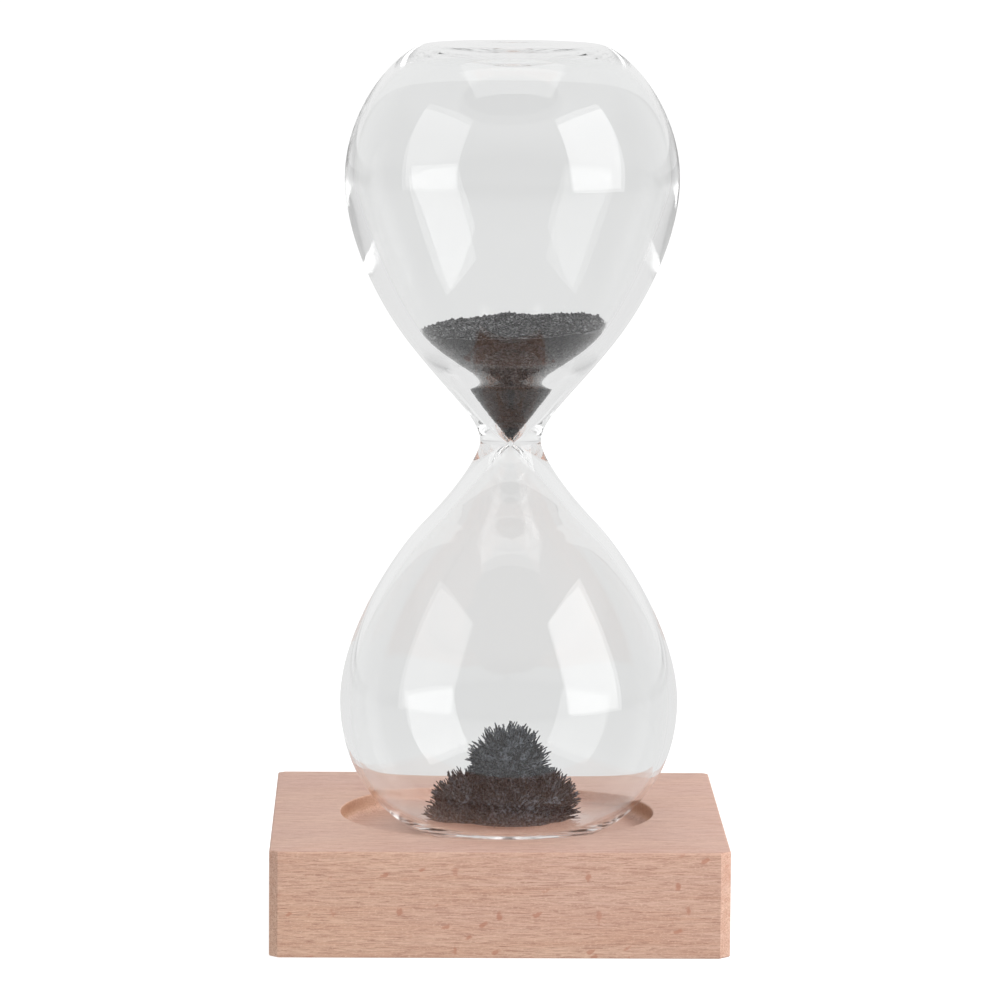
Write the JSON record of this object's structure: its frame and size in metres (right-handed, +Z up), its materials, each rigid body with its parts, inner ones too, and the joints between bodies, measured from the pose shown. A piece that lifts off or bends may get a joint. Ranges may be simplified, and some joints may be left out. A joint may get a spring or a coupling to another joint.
{
  "type": "magnetic sand timer",
  "caption": "Desk ornament: a blown hourglass of iron filings standing in a round recess in a square wooden block that hides a disc magnet, so fallen filings stand up in spikes.",
  "frame": {"origin": "centre of the wooden block's underside", "axes": "+Z up along the hourglass, +X to the right across the front, +Y to the back"},
  "size_m": [0.08, 0.08, 0.1561],
  "materials": {
    "beech": "sanded, matt lacquer",
    "ferrite": "sintered, matt",
    "adhesive": "cured epoxy",
    "felt": "pressed felt",
    "glass": "clear borosilicate, fire polished",
    "filings": "fine dark powder"
  },
  "bodies": {
    "base": {"base_block": "beech", "pocket_cover": "felt", "base_magnet": "ferrite", "magnet_adhesive": "adhesive"},
    "spikes": {"filings_lower": "filings"},
    "timer": {"glass_hourglass": "glass", "fill_seal": "glass", "filings_upper": "filings"}
  },
  "joints": [
    {"name": "timer_lift", "type": "slide", "parent": "base", "child": "spikes", "axis": [0, 0, 1], "range_m": [0, 0.04]},
    {"name": "timer_spin", "type": "hinge", "parent": "spikes", "child": "timer", "pos_m": [0.002, 0, 0.0855], "axis": [0, 0, 1], "continuous": true}
  ]
}
